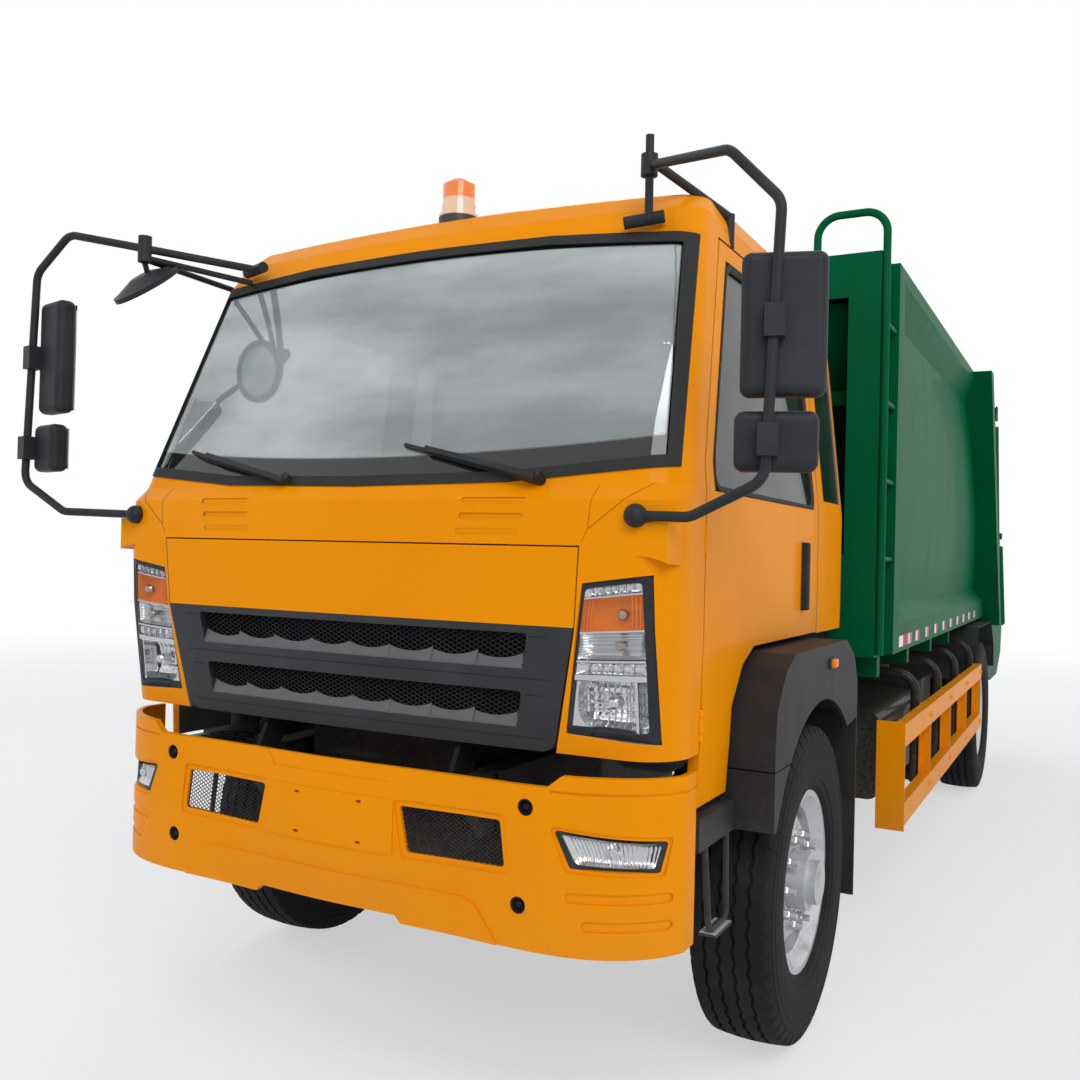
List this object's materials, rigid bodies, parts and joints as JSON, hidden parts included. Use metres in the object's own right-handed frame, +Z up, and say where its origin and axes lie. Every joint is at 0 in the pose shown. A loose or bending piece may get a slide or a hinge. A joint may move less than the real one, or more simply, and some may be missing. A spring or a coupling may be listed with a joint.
{
  "type": "garbage truck",
  "caption": "Rear-loading compactor garbage truck with tilting orange cab, green refuse container, lifting tailgate hopper with sliding packer, side guards and twin rear wheels.",
  "frame": {"origin": "centre of the bounding box's base, on the ground", "axes": "+Z up, -Y towards the cab's front, +X towards the truck's left side"},
  "size_m": [2.7246, 7.8, 3.006],
  "materials": {
    "orange_paint": "gloss",
    "green_paint": "gloss",
    "chassis_black": "satin",
    "silver_paint": "satin",
    "dark_plastic": "matte",
    "tyre_rubber": "matte",
    "flap_rubber": "matte",
    "clear_glass": "gloss",
    "lamp_glass": "gloss",
    "beacon_amber": "gloss",
    "steel": "satin",
    "seat_fabric": "matte"
  },
  "bodies": {
    "chassis": {"chassis_frame": "chassis_black", "power_train": "chassis_black", "axles": "chassis_black", "leaf_springs": "chassis_black", "bumper": "orange_paint", "bumper_mesh": "dark_plastic", "fog_lamps": "lamp_glass", "steps": "dark_plastic", "lower_arches": "dark_plastic", "mudguards": "flap_rubber", "tanks_and_boxes": "chassis_black", "side_guards": "orange_paint", "guard_brackets": "chassis_black", "container_shell": "green_paint", "rear_ring": "green_paint", "ladder": "green_paint"},
    "cab": {"cab_shell": "orange_paint", "windscreen": "clear_glass", "windscreen_seal": "flap_rubber", "cab_glass": "clear_glass", "headlamps": "lamp_glass", "dashboard": "dark_plastic", "seats": "seat_fabric", "mirror_arms": "dark_plastic", "mirror_heads": "dark_plastic", "beacon": "beacon_amber", "wipers": "dark_plastic", "upper_arches": "dark_plastic"},
    "front_flap": {"hood_panel": "orange_paint", "grille_frame": "dark_plastic", "grille_mesh": "dark_plastic"},
    "door_left": {"door_left": "orange_paint", "door_glass_left": "clear_glass", "door_handle_left": "dark_plastic"},
    "door_right": {"door_right": "orange_paint", "door_glass_right": "clear_glass", "door_handle_right": "dark_plastic"},
    "knuckle_left": {"knuckle_left": "chassis_black"},
    "knuckle_right": {"knuckle_right": "chassis_black"},
    "tie_rod": {"tie_rod": "chassis_black"},
    "wheel_front_left": {"tyre_front_left": "tyre_rubber", "rim_front_left": "silver_paint"},
    "wheel_front_right": {"tyre_front_right": "tyre_rubber", "rim_front_right": "silver_paint"},
    "wheels_rear_left": {"tyres_rear_left": "tyre_rubber", "rims_rear_left": "silver_paint"},
    "wheels_rear_right": {"tyres_rear_right": "tyre_rubber", "rims_rear_right": "silver_paint"},
    "ejector": {"ejector_panel": "green_paint"},
    "tailgate": {"hopper_shell": "green_paint", "carriage_barrels": "green_paint"},
    "packer_carriage": {"carriage": "green_paint", "carriage_rods": "steel"},
    "packer_blade": {"packer_blade": "green_paint"},
    "bin_lifter": {"bin_lifter": "orange_paint"},
    "lift_barrels": {"lift_barrels": "green_paint"},
    "lift_rods": {"lift_rods": "steel"}
  },
  "joints": [
    {"name": "cab_tilt", "type": "hinge", "parent": "chassis", "child": "cab", "pos_m": [0, -3.78, 0.93], "axis": [1, 0, 0], "range_deg": [0, 45]},
    {"name": "door_left_hinge", "type": "hinge", "parent": "cab", "child": "door_left", "pos_m": [0.974, -3.571, 1.61], "axis": [0, 0, -1], "range_deg": [0, 65]},
    {"name": "door_right_hinge", "type": "hinge", "parent": "cab", "child": "door_right", "pos_m": [-0.974, -3.571, 1.61], "axis": [0, 0, 1], "range_deg": [0, 65]},
    {"name": "front_flap_hinge", "type": "hinge", "parent": "cab", "child": "front_flap", "pos_m": [0, -3.79, 1.65], "axis": [-1, 0, 0], "range_deg": [0, 70]},
    {"name": "steer_left", "type": "hinge", "parent": "chassis", "child": "knuckle_left", "pos_m": [0.79, -2.744, 0.509], "axis": [0, 0, 1], "range_deg": [-28, 28]},
    {"name": "steer_right", "type": "hinge", "parent": "chassis", "child": "knuckle_right", "pos_m": [-0.79, -2.744, 0.509], "axis": [0, 0, 1], "range_deg": [-28, 28]},
    {"name": "tie_rod_pivot", "type": "hinge", "parent": "knuckle_left", "child": "tie_rod", "pos_m": [0.79, -2.544, 0.46], "axis": [0, 0, 1], "range_deg": [-28, 28]},
    {"name": "wheel_front_left_spin", "type": "hinge", "parent": "knuckle_left", "child": "wheel_front_left", "pos_m": [0.95, -2.744, 0.509], "axis": [1, 0, 0], "continuous": true},
    {"name": "wheel_front_right_spin", "type": "hinge", "parent": "knuckle_right", "child": "wheel_front_right", "pos_m": [-0.95, -2.744, 0.509], "axis": [1, 0, 0], "continuous": true},
    {"name": "wheels_rear_left_spin", "type": "hinge", "parent": "chassis", "child": "wheels_rear_left", "pos_m": [1.04, 1.706, 0.509], "axis": [1, 0, 0], "continuous": true},
    {"name": "wheels_rear_right_spin", "type": "hinge", "parent": "chassis", "child": "wheels_rear_right", "pos_m": [-1.04, 1.706, 0.509], "axis": [1, 0, 0], "continuous": true},
    {"name": "ejector_slide", "type": "slide", "parent": "chassis", "child": "ejector", "axis": [0, 1, 0], "range_m": [0, 2]},
    {"name": "tailgate_hinge", "type": "hinge", "parent": "chassis", "child": "tailgate", "pos_m": [0, 1.43, 2.88], "axis": [1, 0, 0], "range_deg": [0, 75]},
    {"name": "carriage_slide", "type": "slide", "parent": "tailgate", "child": "packer_carriage", "axis": [0, -0.4848, 0.8746], "range_m": [0, 0.6]},
    {"name": "blade_hinge", "type": "hinge", "parent": "packer_carriage", "child": "packer_blade", "pos_m": [0, 2.55, 1.56], "axis": [1, 0, 0], "range_deg": [0, 80]},
    {"name": "bin_lifter_hinge", "type": "hinge", "parent": "tailgate", "child": "bin_lifter", "pos_m": [0, 3.838, 1.18], "axis": [1, 0, 0], "range_deg": [0, 100]},
    {"name": "lift_barrel_pivot", "type": "hinge", "parent": "chassis", "child": "lift_barrels", "pos_m": [0, 2.25, 1.33], "axis": [1, 0, 0], "range_deg": [-3, 0]},
    {"name": "lift_rod_slide", "type": "slide", "parent": "lift_barrels", "child": "lift_rods", "axis": [0, -0.2853, 0.9584], "range_m": [0, 0.6]}
  ],
  "couplings": [
    {"joint": "steer_right", "follows": "steer_left", "ratio": 1},
    {"joint": "tie_rod_pivot", "follows": "steer_left", "ratio": -1},
    {"joint": "lift_barrel_pivot", "follows": "tailgate_hinge", "ratio": -0.03333},
    {"joint": "lift_rod_slide", "follows": "tailgate_hinge", "m_per_rad": 0.45455}
  ]
}
